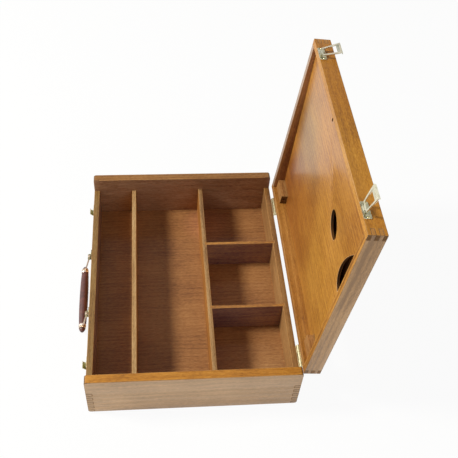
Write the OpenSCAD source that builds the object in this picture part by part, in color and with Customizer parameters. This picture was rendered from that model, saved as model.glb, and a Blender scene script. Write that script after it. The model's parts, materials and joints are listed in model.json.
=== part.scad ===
// Wooden artist's brush box with a hinged lid, a lift-out palette and a carrying handle.
// X runs across the box, from the latch side (-X) to the hinge side (+X).
// Y runs along the hinge, Z is up, and the origin is the centre of the box's underside.

/* [Box] */
// Width of the closed box, from the latch side to the hinge side
body_w = 305; // [270:1:350]
// Length of the closed box, along the hinge
body_l = 402; // [370:1:450]
// Height of the closed box, which is the height of its two end walls
body_h = 83; // [79:1:95]
// Height of the two long walls, which carry the lid's rim
wall_h = 58; // [54:1:62]
// Thickness of an end wall
end_t = 13; // [11:0.5:16]
// Thickness of a long wall
side_t = 9; // [8:0.5:12]
// Radius of the end walls' top corners
corner_r = 4; // [2:0.5:6]
// Thickness of the plywood floor
floor_t = 4; // [3:0.5:6]
// Wood left outside the floor's and the lid panel's rebate
rebate_lip = 5; // [4:0.5:6]
// Fingers and gaps in each of the base's corner joints
base_fingers = 10; // [6:2:12]

/* [Dividers] */
// Thickness of the two long dividers
divider_t = 7; // [5:0.5:9]
// Thickness of the two cross dividers
cross_t = 5; // [4:0.5:7]
// How far a divider's top lies below the long walls
divider_drop = 1; // [0.5:0.5:4]
// Depth of the groove that holds a divider's end
groove_d = 2.5; // [1.5:0.5:3]
// Width of the narrow bay beside the latch wall
brush_bay_w = 55.5; // [40:0.5:75]
// Width of the bay with the cross dividers, beside the hinge wall
paint_bay_w = 109.5; // [90:0.5:125]

/* [Lid] */
// How far the lid is open, where its hinges stop it
lid_angle = 95.5; // [90:0.5:100]
// Gap between the long walls and the closed lid's rim
lid_gap = 0.3; // [0.2:0.1:0.8]
// Gap between the lid and each end wall
lid_end_gap = 0.5; // [0.3:0.1:1]
// Thickness of the lid's two end rails
rail_t = 10; // [8:0.5:13]
// Thickness of the lid's plywood panel
panel_t = 3.5; // [3:0.5:6]
// Fingers and gaps in each of the lid's corner joints
lid_fingers = 5; // [3:2:7]

/* [Palette] */
// Thickness of the palette
palette_t = 4; // [3:0.5:5]
// Gap round the palette's edge
palette_gap = 0.6; // [0.4:0.1:1]
// Gap between the palette and what it leans on, the panel and the strip
palette_seat = 0.2; // [0.1:0.1:0.4]
// Long axis of the oval thumb hole
thumb_l = 41; // [34:1:46]
// Short axis of the oval thumb hole
thumb_w = 28.5; // [22:0.5:32]
// Long axis of the oval that cuts the palette's edge for the fingers
finger_l = 126; // [110:1:130]
// Short axis of that oval
finger_w = 67; // [56:1:70]
// Width of the strip behind the palette
strip_w = 8; // [5:0.5:12]
// Thickness of that strip, as a share of the lid's inner depth
strip_share = 0.52; // [0.2:0.02:0.6]
// Length of a corner block
block_l = 39; // [25:1:50]
// Width of a corner block
block_w = 17.5; // [12:0.5:22]
// How far a corner block lies behind the lid's rim, as a share of the lid's inner depth
block_share = 0.28; // [0.2:0.02:0.36]

/* [Hinges] */
// Length of a hinge
hinge_l = 36; // [30:1:50]
// Height of a hinge leaf
leaf_h = 15; // [13:0.5:18]
// Thickness of a hinge leaf
leaf_t = 1.2; // [1:0.1:1.6]
// Outer radius of a hinge knuckle
knuckle_r = 2.8; // [2.4:0.1:3.1]
// Radius of a hinge pin
hinge_pin_r = 1.2; // [0.8:0.1:1.4]
// Distance of the hinge pin from the box's face
hinge_off = 3.5; // [3.4:0.1:4.5]
// Distance of the far hinge's centre from the box's end
hinge_far_in = 59; // [40:1:90]
// Distance of the near hinge's centre from the box's end
hinge_near_in = 45; // [40:1:90]

/* [Latches] */
// Distance of a latch's centre from the box's end
latch_in = 51; // [40:1:90]
// Width of a latch's hasp at its tip
hasp_w = 23.5; // [18:0.5:26]
// Width of a latch's hasp at its pin
hasp_base_w = 17; // [15:0.5:18]
// Length of a hasp, from its pin to its tip
hasp_l = 30; // [28:0.5:32]
// Width of the hasp's two side bars
hasp_bar = 2.6; // [2:0.1:3]
// Length of the hasp's window
window_l = 19; // [17:0.5:20]
// Thickness of a hasp
hasp_t = 1.2; // [0.9:0.1:1.4]
// How far the near hasp stands up from the lid's rail
hasp_near_angle = 78.5; // [0:0.5:180]
// How far the far hasp stands up from the lid's rail
hasp_far_angle = 20; // [0:0.5:180]

/* [Handle] */
// Distance between the handle's two pivots
handle_span = 112; // [90:1:130]
// How far the handle's middle lies towards the near end
handle_near = 5.5; // [0:0.5:12]
// Height of the handle's pivots above the underside
pivot_z = 46; // [46:0.5:47.5]
// Distance of the handle's pivots from the wall
pivot_off = 4.5; // [4.2:0.1:6]
// Distance from a pivot to the grip's middle
handle_drop = 38.5; // [30:0.5:38.5]
// Radius of the grip at its middle
grip_r = 6.7; // [5.5:0.1:7]
// Radius of the grip at its ends
grip_end_r = 5.2; // [4.5:0.1:5.5]
// Radius of the rod through the grip
rod_r = 2; // [1.5:0.1:2.5]
// How far the handle hangs out from straight down
handle_angle = 15; // [5:0.5:20]

/* [Fixings] */
// Radius of a screw's head
screw_head_r = 2.2; // [1.8:0.1:2.4]
// Radius of a screw's shank
screw_r = 1.1; // [0.8:0.1:1.3]
// Length of a screw's shank in the wood
screw_l = 6.5; // [5:0.5:7.5]
// Radial clearance of a turning pin
pin_play = 0.05; // [0.02:0.01:0.08]

/* [Hidden] */

// Smoothness of round faces
$fn = 48;
// How far a cutting shape reaches past the face that it cuts
past = 1;

// Faces of the base
face_x = body_w / 2;
end_y = body_l / 2;
inner_x = face_x - side_t;
inner_y = end_y - end_t;
bay_top = wall_h - divider_drop;
finger_h = wall_h / base_fingers;

// Dividers
brush_x = -inner_x + brush_bay_w + divider_t / 2;
paint_x = inner_x - paint_bay_w - divider_t / 2;
cross_y = (2 * inner_y - 2 * cross_t) / 6 + cross_t / 2;

// Lid, in its closed place
rim_z = wall_h + lid_gap;
lid_y = inner_y - lid_end_gap;
lid_inner_x = face_x - side_t;
lid_inner_y = lid_y - rail_t;
lid_finger_h = (body_h - rim_z) / lid_fingers;
panel_z = body_h - panel_t;
hinge_x = face_x + hinge_off;
hinge_z = wall_h;

// Palette, in the closed lid
lid_depth = panel_z - rim_z;
strip_t = strip_share * lid_depth;
palette_back = panel_z - palette_seat;
palette_x = lid_inner_x - palette_gap;
palette_y = lid_inner_y - palette_gap;
palette_tilt = asin(strip_t / (palette_x + lid_inner_x - strip_w));
block_z = rim_z + block_share * lid_depth;
block_x = lid_inner_x - block_w;
block_y = lid_inner_y - block_l;
block_screw_z = block_z + 0.36 * (panel_z - block_z);
notch_gap = 2.4;
notch_relief_l = 10;
// Places of the palette's holes, from the middle of the lid
thumb_at = [-47.2, -palette_y + 98.6];
thumb_turn = 123.5;
finger_at = [-61, -palette_y - 8];
finger_turn = 34.5;
peg_hole_at = [-palette_x + 13.4, 35.7];
peg_hole_r = 2.5;

// Hinges
hinge_far_y = end_y - hinge_far_in;
hinge_near_y = -end_y + hinge_near_in;
knuckle_gap = 0.3;
leaf_joint_gap = 0.6;
heel_gap = 0.06;
heel_r = 5;
heel_t = 1.3;
leaf_screw_y = hinge_l / 3;

// Latches, on the lid's latch rail in its closed place
latch_y = end_y - latch_in;
plate_t = 1;
hasp_z = rim_z + 2;
hasp_knuckle_r = 1.7;
hasp_play = 0.1;
hasp_x = -face_x - plate_t - hasp_knuckle_r - hasp_play;
hasp_pin_r = 0.8;
hasp_knuckle_w = 8;
hasp_knuckle_gap = 0.2;
hasp_neck = 2.6;
window_start = 4.2;
plate_ear = 5;
plate_l = hasp_base_w + 2 * plate_ear;
plate_w = 10;
plate_corner = 1.2;
plate_z = hasp_z - hasp_knuckle_r;
plate_screw_y = (hasp_base_w + plate_ear) / 2;
plate_screw_z = plate_z + plate_w / 2 + 1.2;
tip_lip = 2;

// Catches, on the latch wall
catch_t = 0.9;
catch_w = 18;
catch_z0 = hasp_z - hasp_l;
catch_z1 = wall_h - 4;
tongue_gap = 0.4;
tongue_w = hasp_base_w - 2 * hasp_bar - 2 * tongue_gap;
tongue_z = hasp_z - window_start - window_l + 2.5;
tongue_out = 6.5;
tongue_up = 8.5;
catch_screw_z = [catch_z0 + 3.4, catch_z1 - 3.4];

// Handle
pivot_x = -face_x - pivot_off;
handle_y = -handle_near;
link_y = handle_span / 2;
bracket_w = 12;
bracket_h = 22;
bracket_t = 1.2;
ear_in = 2.3;
ear_t = 1.5;
ear_r = 2.6;
handle_pin_r = 1.2;
handle_pin_head_r = 2;
handle_pin_head = 0.9;
link_eye_r = 2.5;
link_wire_r = 1.2;
link_eye_w = 4;
ring_r = 5.5;
ring_w = 3;
ring_gap = 0.1;
grip_l = handle_span - ring_w - 2 * ring_gap;
cap_r = 4.6;
cap_l = 5.5;
rod_play = 0.05;
bracket_screw = 8;

// Panel pins
pin_head_r = 1.3;
pin_head = 0.5;
nail_r = 0.7;
nail_l = 12;
nails_long = 4;
nails_short = 3;
screw_head = 0.9;
screw_slot = 0.5;

wood = "peru";
ply = "sandybrown";
brass = "khaki";

// A box given by its lowest and highest corners
module slab(lo, hi) {
    translate(lo)
        cube(hi - lo);
}

// A cylinder along Y from y0 to y1
module rod_y(r, y0, y1) {
    translate([0, y1, 0])
        rotate([90, 0, 0])
            cylinder(r = r, h = y1 - y0);
}

// A cylinder along X from x0 to x1
module rod_x(r, x0, x1) {
    translate([x0, 0, 0])
        rotate([0, 90, 0])
            cylinder(r = r, h = x1 - x0);
}

// Moves what is drawn for the closed lid to the open lid
module on_lid() {
    translate([hinge_x, 0, hinge_z])
        rotate([0, lid_angle, 0])
            translate([-hinge_x, 0, -hinge_z])
                children();
}

// Copies at the two ends of the box
module both_ends() {
    for (s = [-1, 1])
        scale([1, s, 1])
            children();
}

// A round-headed screw with a slot: its head stands on the face z = 0 and its shank goes down
module screw() {
    difference() {
        union() {
            cylinder(r1 = screw_head_r, r2 = screw_head_r * 0.72, h = screw_head);
            translate([0, 0, -screw_l])
                cylinder(r = screw_r, h = screw_l + 0.1);
        }
        slab([-screw_head_r - past, -screw_slot / 2, screw_head * 0.5],
            [screw_head_r + past, screw_slot / 2, screw_head + past]);
    }
}

// The hole for such a screw's shank
module screw_hole() {
    translate([0, 0, -screw_l])
        cylinder(r = screw_r, h = screw_l + past + 2);
}

// Turns a screw so that its head points along -X or +X
module facing_latch() {
    rotate([0, -90, 0])
        children();
}

module facing_hinge() {
    rotate([0, 90, 0])
        children();
}

// Places of the nails along the rebate of a panel that is set in by the lip
module nail_places(half_x, half_y, band_x, band_y) {
    for (s = [-1, 1], i = [0 : nails_long - 1])
        translate([s * (half_x - band_x / 2), (i - (nails_long - 1) / 2) * half_y * 2 / nails_long, 0])
            children();
    for (s = [-1, 1], i = [0 : nails_short - 1])
        translate([(i - (nails_short - 1) / 2) * half_x * 2 / nails_short, s * (half_y - band_y / 2), 0])
            children();
}

// A nail with its head flush with z = 0 and its point up
module nail() {
    cylinder(r = pin_head_r, h = pin_head);
    cylinder(r = nail_r, h = nail_l);
}

// Widths of the rebates in the base and in the lid
base_band_x = side_t - rebate_lip;
base_band_y = end_t - rebate_lip;
lid_band_x = side_t - rebate_lip;
lid_band_y = rail_t - rebate_lip;

module floor_nails() {
    nail_places(face_x - rebate_lip, end_y - rebate_lip, base_band_x, base_band_y)
        nail();
}

module lid_nails() {
    translate([0, 0, body_h])
        mirror([0, 0, 1])
            nail_places(face_x - rebate_lip, lid_y - rebate_lip, lid_band_x, lid_band_y)
                nail();
}

module floor_blank() {
    slab([-face_x + rebate_lip, -end_y + rebate_lip, 0], [face_x - rebate_lip, end_y - rebate_lip, floor_t]);
}

module lid_panel_blank() {
    slab([-face_x + rebate_lip, -lid_y + rebate_lip, panel_z],
        [face_x - rebate_lip, lid_y - rebate_lip, body_h]);
}

// Fingers of height step from z0, either the even or the odd ones, between two corners in X and Y
module fingers(lo, hi, z0, step, count, first) {
    for (i = [first : 2 : count - 1])
        slab([lo[0], lo[1], z0 + i * step], [hi[0], hi[1], z0 + (i + 1) * step]);
}

// Rounds off an end wall's top corner
module corner_cut() {
    translate([face_x - corner_r, 0, body_h - corner_r])
        difference() {
            slab([0, -past, 0], [corner_r + past, end_t + past, corner_r + past]);
            rod_y(corner_r, -2 * past, end_t + 2 * past);
        }
}

// The end wall of the +Y end
module end_wall() {
    difference() {
        slab([-face_x, inner_y, 0], [face_x, end_y, body_h]);
        for (s = [-1, 1])
            scale([s, 1, 1]) {
                translate([0, inner_y, 0])
                    corner_cut();
                fingers([inner_x, inner_y - past], [face_x + past, end_y + past], 0, finger_h,
                    base_fingers, 0);
            }
        for (x = [brush_x, paint_x])
            slab([x - divider_t / 2, inner_y - past, 0], [x + divider_t / 2, inner_y + groove_d, bay_top]);
        floor_blank();
        floor_nails();
    }
}

// A long wall on the +X side, with its fingers and its floor rebate
module side_wall() {
    difference() {
        slab([inner_x, -end_y, 0], [face_x, end_y, wall_h]);
        both_ends()
            fingers([inner_x - past, inner_y], [face_x + past, end_y + past], 0, finger_h,
                base_fingers, 1);
        floor_blank();
        floor_nails();
    }
}

module near_end_wall() {
    color(wood)
        mirror([0, 1, 0])
            end_wall();
}

module far_end_wall() {
    color(wood)
        end_wall();
}

module latch_wall() {
    color(wood)
        difference() {
            mirror([1, 0, 0])
                side_wall();
            catch_screw_places()
                screw_hole();
            bracket_screw_places()
                screw_hole();
        }
}

module hinge_wall() {
    color(wood)
        difference() {
            side_wall();
            for (s = [-1, 1])
                slab([inner_x - past, s * cross_y - cross_t / 2, 0],
                    [inner_x + groove_d, s * cross_y + cross_t / 2, wall_h + past]);
            base_leaf_screw_places()
                screw_hole();
        }
}

module floor_panel() {
    color(ply)
        difference() {
            floor_blank();
            floor_nails();
        }
}

module floor_pins() {
    color(brass)
        floor_nails();
}

module long_divider(x) {
    slab([x - divider_t / 2, -inner_y - groove_d, floor_t], [x + divider_t / 2, inner_y + groove_d, bay_top]);
}

module brush_divider() {
    color(wood)
        long_divider(brush_x);
}

module paint_divider() {
    color(wood)
        difference() {
            long_divider(paint_x);
            for (s = [-1, 1])
                slab([paint_x + divider_t / 2 - groove_d, s * cross_y - cross_t / 2, 0],
                    [paint_x + divider_t / 2 + past, s * cross_y + cross_t / 2, bay_top + past]);
        }
}

module cross_divider(y) {
    color(wood)
        slab([paint_x + divider_t / 2 - groove_d, y - cross_t / 2, floor_t],
            [inner_x + groove_d, y + cross_t / 2, bay_top]);
}

// Hinges: the middle knuckle belongs to the lid, and the two outer ones to the base
module outer_knuckles(r, gap) {
    for (s = [-1, 1])
        scale([1, s, 1])
            rod_y(r, hinge_l / 6 + gap / 2, hinge_l / 2);
}

module middle_knuckle(r, gap) {
    rod_y(r, -hinge_l / 6 + gap / 2, hinge_l / 6 - gap / 2);
}

module base_leaf_screw_places() {
    for (c = [hinge_far_y, hinge_near_y], s = [-1, 1])
        translate([face_x + leaf_t, c + s * leaf_screw_y, wall_h - leaf_h / 2 - 1.5])
            facing_hinge()
                children();
}

module lid_leaf_screw_places() {
    for (c = [hinge_far_y, hinge_near_y], s = [-1, 1])
        translate([face_x + leaf_t, c + s * leaf_screw_y, rim_z + leaf_h / 2 + 1.5])
            facing_hinge()
                children();
}

// The web that joins a knuckle to its leaf, on the leaf's side of the pin
module knuckle_web(y0, y1) {
    slab([-hinge_off, y0, -knuckle_r], [0, y1, -knuckle_r + leaf_t]);
}

module base_leaf(y) {
    color(brass)
        difference() {
            translate([hinge_x, y, hinge_z])
                difference() {
                    union() {
                        difference() {
                            slab([-hinge_off, -hinge_l / 2, -leaf_h],
                                [-hinge_off + leaf_t, hinge_l / 2, -leaf_joint_gap]);
                            middle_knuckle(knuckle_r + knuckle_gap, -knuckle_gap);
                        }
                        outer_knuckles(knuckle_r, knuckle_gap);
                        knuckle_web(-hinge_l / 2, -hinge_l / 6 - knuckle_gap / 2);
                        knuckle_web(hinge_l / 6 + knuckle_gap / 2, hinge_l / 2);
                    }
                    rod_y(hinge_pin_r, -hinge_l / 2 - past, hinge_l / 2 + past);
                }
            base_leaf_screw_places()
                screw_hole();
        }
}

// The stop that the lid's knuckle carries: with the lid open it lies against the base's leaf
module heel() {
    slab([-hinge_off + leaf_t + heel_gap, -hinge_l / 6 + knuckle_gap / 2, -heel_r],
        [-hinge_off + leaf_t + heel_gap + heel_t, hinge_l / 6 - knuckle_gap / 2, 0]);
}

module lid_leaf(y) {
    color(brass)
        difference() {
            union() {
                on_lid()
                    translate([hinge_x, y, hinge_z]) {
                        difference() {
                            slab([-hinge_off, -hinge_l / 2, leaf_joint_gap + lid_gap],
                                [-hinge_off + leaf_t, hinge_l / 2, leaf_h + lid_gap]);
                            outer_knuckles(knuckle_r + knuckle_gap, -knuckle_gap);
                        }
                        middle_knuckle(knuckle_r, knuckle_gap);
                        mirror([0, 0, 1])
                            knuckle_web(-hinge_l / 6 + knuckle_gap / 2, hinge_l / 6 - knuckle_gap / 2);
                    }
                translate([hinge_x, y, hinge_z])
                    heel();
            }
            translate([hinge_x, y, hinge_z])
                rod_y(hinge_pin_r + pin_play, -hinge_l / 2 - past, hinge_l / 2 + past);
            on_lid()
                lid_leaf_screw_places()
                    screw_hole();
        }
}

module hinge_pin(y) {
    color(brass)
        translate([hinge_x, y, hinge_z])
            rod_y(hinge_pin_r, -hinge_l / 2, hinge_l / 2);
}

module base_leaf_screws() {
    color(brass)
        base_leaf_screw_places()
            screw();
}

module lid_leaf_screws() {
    color(brass)
        on_lid()
            lid_leaf_screw_places()
                screw();
}

// Catches: a plate on the latch wall with a sprung tongue that pokes through the closed hasp
module catch_screw_places() {
    for (s = [-1, 1], z = catch_screw_z)
        translate([-face_x - catch_t, s * latch_y, z])
            facing_latch()
                children();
}

module catch(y) {
    color(brass)
        difference() {
            union() {
                slab([-face_x - catch_t, y - catch_w / 2, catch_z0], [-face_x, y + catch_w / 2, catch_z1]);
                translate([-face_x - catch_t / 2, y + tongue_w / 2, tongue_z])
                    rotate([90, 0, 0])
                        linear_extrude(tongue_w)
                            polygon([
                                [0, 0], [-tongue_out, tongue_up - 2.5], [-tongue_out, tongue_up],
                                [-tongue_out + catch_t, tongue_up], [-tongue_out + catch_t, tongue_up - 2],
                                [0, 2 * catch_t]
                            ]);
            }
            catch_screw_places()
                screw_hole();
        }
}

module catch_screws() {
    color(brass)
        catch_screw_places()
            screw();
}

// Latches: a plate on the lid's latch rail carries the hasp on a pin
module hasp_plate_screw_places() {
    for (e = [-1, 1], s = [-1, 1])
        translate([-face_x - plate_t, e * latch_y + s * plate_screw_y, plate_screw_z])
            facing_latch()
                children();
}

module hasp_plate_blank(y) {
    l = plate_l / 2;
    c = plate_corner;
    translate([-face_x - plate_t, y, plate_z])
        rotate([90, 0, 90])
            linear_extrude(plate_t)
                polygon([
                    [-l + c, 0], [l - c, 0], [l, c], [l, plate_w - c],
                    [l - c, plate_w], [-l + c, plate_w], [-l, plate_w - c], [-l, c]
                ]);
}

module hasp_plate(y) {
    color(brass)
        on_lid()
            difference() {
                union() {
                    hasp_plate_blank(y);
                    translate([hasp_x, y, hasp_z])
                        both_ends() {
                            rod_y(hasp_knuckle_r, hasp_knuckle_w / 2 + hasp_knuckle_gap, hasp_base_w / 2);
                            slab([0, hasp_knuckle_w / 2 + hasp_knuckle_gap, -hasp_knuckle_r],
                                [-face_x - plate_t / 2 - hasp_x, hasp_base_w / 2, -hasp_knuckle_r + plate_t]);
                        }
                }
                translate([hasp_x, y, hasp_z])
                    rod_y(hasp_pin_r, -hasp_base_w / 2 - past, hasp_base_w / 2 + past);
                hasp_plate_screw_places()
                    screw_hole();
            }
}

module hasp_pin(y) {
    color(brass)
        on_lid()
            translate([hasp_x, y, hasp_z])
                rod_y(hasp_pin_r, -hasp_base_w / 2, hasp_base_w / 2);
}

module hasp_plate_screws() {
    color(brass)
        on_lid()
            hasp_plate_screw_places()
                screw();
}

// Half the hasp's width at a distance from its pin
function hasp_half(d) = (hasp_base_w + (hasp_w - hasp_base_w) * (d - hasp_neck) / (hasp_l - hasp_neck)) / 2;

// The outline between two distances from the pin, inset from the hasp's sides
module hasp_outline(d0, d1, inset) {
    h0 = hasp_half(d0) - inset;
    h1 = hasp_half(d1) - inset;
    polygon([[-h0, d0], [h0, d0], [h1, d1], [-h1, d1]]);
}

// A hasp that lies back along the lid's rail when its angle is 0
module hasp(y, angle) {
    lip_half = hasp_half(hasp_l - hasp_t);
    color(brass)
        on_lid()
            translate([hasp_x, y, hasp_z])
                rotate([0, -angle, 0])
                    difference() {
                        union() {
                            rod_y(hasp_knuckle_r, -hasp_knuckle_w / 2, hasp_knuckle_w / 2);
                            slab([-hasp_t / 2, -hasp_knuckle_w / 2, 0],
                                [hasp_t / 2, hasp_knuckle_w / 2, hasp_neck + past]);
                            translate([-hasp_t / 2, 0, 0])
                                rotate([90, 0, 90])
                                    linear_extrude(hasp_t)
                                        difference() {
                                            hasp_outline(hasp_neck, hasp_l, 0);
                                            hasp_outline(window_start, window_start + window_l, hasp_bar);
                                        }
                            slab([0, -lip_half, hasp_l - hasp_t], [hasp_t / 2 + tip_lip, lip_half, hasp_l]);
                        }
                        rod_y(hasp_pin_r + pin_play, -hasp_w, hasp_w);
                    }
}

// Handle brackets on the latch wall
module bracket_screw_places() {
    for (e = [-1, 1], s = [-1, 1])
        translate([-face_x - bracket_t, handle_y + e * link_y, pivot_z + s * bracket_screw])
            facing_latch()
                children();
}

module handle_bracket(y) {
    color(brass)
        difference() {
            union() {
                slab([-face_x - bracket_t, y - bracket_w / 2, pivot_z - bracket_h / 2],
                    [-face_x, y + bracket_w / 2, pivot_z + bracket_h / 2]);
                for (s = [-1, 1])
                    translate([pivot_x, y, pivot_z])
                        scale([1, s, 1]) {
                            rod_y(ear_r, ear_in, ear_in + ear_t);
                            slab([0, ear_in, -ear_r], [-face_x - bracket_t / 2 - pivot_x, ear_in + ear_t, ear_r]);
                        }
            }
            translate([pivot_x, y, pivot_z])
                rod_y(handle_pin_r, -bracket_w, bracket_w);
            bracket_screw_places()
                screw_hole();
        }
}

module handle_bracket_screws() {
    color(brass)
        bracket_screw_places()
            screw();
}

module handle_pin(y) {
    reach = ear_in + ear_t;
    color(brass)
        translate([pivot_x, y, pivot_z]) {
            rod_y(handle_pin_r, -reach, reach);
            for (s = [-1, 1])
                scale([1, s, 1])
                    rod_y(handle_pin_head_r, reach, reach + handle_pin_head);
        }
}

// Moves what is drawn for a handle that hangs straight down from its pivot to where it hangs
module on_handle() {
    translate([pivot_x, handle_y, pivot_z])
        rotate([0, handle_angle, 0])
            children();
}

module handle_link(y) {
    color(brass)
        on_handle()
            translate([0, y, 0])
                difference() {
                    union() {
                        rod_y(link_eye_r, -link_eye_w / 2, link_eye_w / 2);
                        translate([0, 0, -handle_drop])
                            cylinder(r = link_wire_r, h = handle_drop);
                        translate([0, 0, -handle_drop])
                            rod_y(ring_r, -ring_w / 2, ring_w / 2);
                    }
                    rod_y(handle_pin_r + pin_play, -link_eye_w, link_eye_w);
                    translate([0, 0, -handle_drop])
                        rod_y(rod_r + rod_play, -ring_w, ring_w);
                }
}

module handle_rod() {
    reach = link_y + ring_w / 2 + ring_gap + cap_l / 2;
    color("silver")
        on_handle()
            translate([0, 0, -handle_drop])
                rod_y(rod_r, -reach, reach);
}

// The grip swells from its ends to its middle
module handle_grip() {
    steps = 16;
    profile = [for (i = [0 : steps]) let (t = 2 * i / steps - 1)
        [grip_end_r + (grip_r - grip_end_r) * (1 - pow(abs(t), 2.4)), t * grip_l / 2]];
    color("saddlebrown")
        on_handle()
            translate([0, 0, -handle_drop])
                rotate([90, 0, 0])
                    rotate_extrude()
                        polygon(concat([[rod_r + rod_play, -grip_l / 2]], profile,
                            [[rod_r + rod_play, grip_l / 2]]));
}

// A domed cap on one end of the rod: side is 1 for the far end and -1 for the near one
module handle_cap(side) {
    start = ring_w / 2 + ring_gap;
    dome = cap_l - 2;
    color("saddlebrown")
        on_handle()
            translate([0, side * (link_y + start), -handle_drop])
                rotate([-90 * side, 0, 0])
                    difference() {
                        union() {
                            cylinder(r = cap_r, h = cap_l - dome);
                            translate([0, 0, cap_l - dome])
                                cylinder(r1 = cap_r, r2 = cap_r * 0.55, h = dome);
                        }
                        translate([0, 0, -past])
                            cylinder(r = rod_r + rod_play, h = cap_l / 2 + past);
                    }
}

// Lid rails
module lid_end_rail() {
    difference() {
        slab([-face_x, lid_inner_y, rim_z], [face_x, lid_y, body_h]);
        for (s = [-1, 1])
            scale([s, 1, 1])
                fingers([lid_inner_x, lid_inner_y - past], [face_x + past, lid_y + past], rim_z,
                    lid_finger_h, lid_fingers, 0);
        lid_panel_blank();
        lid_nails();
        block_screw_places()
            block_screw_hole();
    }
}

module lid_side_rail() {
    difference() {
        slab([lid_inner_x, -lid_y, rim_z], [face_x, lid_y, body_h]);
        both_ends()
            fingers([lid_inner_x - past, lid_inner_y], [face_x + past, lid_y + past], rim_z,
                lid_finger_h, lid_fingers, 1);
        lid_panel_blank();
        lid_nails();
    }
}

module lid_near_rail() {
    color(wood)
        on_lid()
            mirror([0, 1, 0])
                lid_end_rail();
}

module lid_far_rail() {
    color(wood)
        on_lid()
            lid_end_rail();
}

module lid_latch_rail() {
    color(wood)
        on_lid()
            difference() {
                mirror([1, 0, 0])
                    lid_side_rail();
                hasp_plate_screw_places()
                    screw_hole();
            }
}

module lid_hinge_rail() {
    color(wood)
        on_lid()
            difference() {
                lid_side_rail();
                lid_leaf_screw_places()
                    screw_hole();
            }
}

module lid_panel() {
    color(ply)
        on_lid()
            difference() {
                lid_panel_blank();
                lid_nails();
            }
}

module lid_pins() {
    color(brass)
        on_lid()
            lid_nails();
}

// Corner blocks beside the hinge rail, each held by a sunk screw that runs along it into the end rail
block_screw_sink = 4;
block_screw_reach = 6;
block_head_r = 2.3;
block_head = 1.5;

module block_screw_places() {
    translate([block_x + block_w / 2, block_y + block_screw_sink, block_screw_z])
        children();
}

module block_screw_hole() {
    rod_y(screw_r, 0, block_l - block_screw_sink + block_screw_reach);
}

module block_blank() {
    difference() {
        slab([block_x, block_y, block_z], [lid_inner_x, lid_inner_y, panel_z]);
        block_screw_places() {
            block_screw_hole();
            rod_y(block_head_r, -block_screw_sink - past, block_head);
        }
    }
}

module block_far() {
    color(wood)
        on_lid()
            block_blank();
}

module block_near() {
    color(wood)
        on_lid()
            mirror([0, 1, 0])
                block_blank();
}

module block_screws() {
    color("dimgray")
        on_lid()
            both_ends()
                block_screw_places()
                    difference() {
                        union() {
                            block_screw_hole();
                            rod_y(block_head_r, 0, block_head);
                        }
                        slab([-block_head_r - past, -past, -screw_slot / 2],
                            [block_head_r + past, block_head / 2, screw_slot / 2]);
                    }
}

// A strip on the lid's panel beside the latch rail, which the palette leans on
module strip_latch() {
    color(wood)
        on_lid()
            slab([-lid_inner_x, -lid_inner_y, panel_z - strip_t],
                [-lid_inner_x + strip_w, lid_inner_y, panel_z]);
}

// Moves what is drawn with its rim side on z = 0 to the leaning palette's place in the closed lid
module on_palette() {
    translate([palette_x, 0, palette_back])
        rotate([0, -palette_tilt, 0])
            translate([-palette_x, 0, -palette_t])
                children();
}

// The palette fills the lid and is cut away round the corner blocks: it lies on the panel beside the
// hinge rail and leans on the strip beside the latch rail
module palette() {
    z0 = -past;
    z1 = palette_t + past;
    notch_y = block_y - palette_gap;
    color(ply)
        on_lid()
            on_palette()
                difference() {
                    slab([-palette_x, -palette_y, 0], [palette_x, palette_y, palette_t]);
                    slab([block_x - notch_gap, notch_y, z0], [palette_x + past, palette_y + past, z1]);
                    slab([block_x - palette_gap, -palette_y - past, z0], [palette_x + past, -notch_y, z1]);
                    slab([block_x - notch_gap, -notch_y - notch_relief_l, z0], [block_x, -notch_y, z1]);
                    translate([thumb_at[0], thumb_at[1], z0])
                        rotate([0, 0, thumb_turn])
                            oval_hole(thumb_l, thumb_w);
                    translate([finger_at[0], finger_at[1], z0])
                        rotate([0, 0, finger_turn])
                            oval_hole(finger_l, finger_w);
                    translate([peg_hole_at[0], peg_hole_at[1], z0])
                        cylinder(r = peg_hole_r, h = z1 - z0);
                }
}

// An oval hole through the palette, as an ellipse with $fn corners
module oval_hole(l, w) {
    linear_extrude(palette_t + 2 * past)
        polygon([for (i = [0 : $fn - 1]) [l / 2 * cos(360 * i / $fn), w / 2 * sin(360 * i / $fn)]]);
}

near_end_wall();
far_end_wall();
latch_wall();
hinge_wall();
floor_panel();
floor_pins();
brush_divider();
paint_divider();
cross_divider(cross_y);  // cross_divider_far
cross_divider(-cross_y);  // cross_divider_near
base_leaf(hinge_far_y);  // base_leaf_far
base_leaf(hinge_near_y);  // base_leaf_near
base_leaf_screws();
hinge_pin(hinge_far_y);  // hinge_pin_far
hinge_pin(hinge_near_y);  // hinge_pin_near
catch(latch_y);  // catch_far
catch(-latch_y);  // catch_near
catch_screws();
handle_bracket(handle_y + link_y);  // handle_bracket_far
handle_bracket(handle_y - link_y);  // handle_bracket_near
handle_bracket_screws();
handle_pin(handle_y + link_y);  // handle_pin_far
handle_pin(handle_y - link_y);  // handle_pin_near
handle_link(link_y);  // handle_link_far
handle_link(-link_y);  // handle_link_near
handle_rod();
handle_grip();
handle_cap(1);  // handle_cap_far
handle_cap(-1);  // handle_cap_near
lid_near_rail();
lid_far_rail();
lid_latch_rail();
lid_hinge_rail();
lid_panel();
lid_pins();
lid_leaf(hinge_far_y);  // lid_leaf_far
lid_leaf(hinge_near_y);  // lid_leaf_near
lid_leaf_screws();
block_far();
block_near();
block_screws();
strip_latch();
hasp_plate(latch_y);  // hasp_plate_far
hasp_plate(-latch_y);  // hasp_plate_near
hasp_plate_screws();
hasp_pin(latch_y);  // hasp_pin_far
hasp_pin(-latch_y);  // hasp_pin_near
hasp(latch_y, hasp_far_angle);  // hasp_far
hasp(-latch_y, hasp_near_angle);  // hasp_near
palette();
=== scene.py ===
import json
import math

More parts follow.
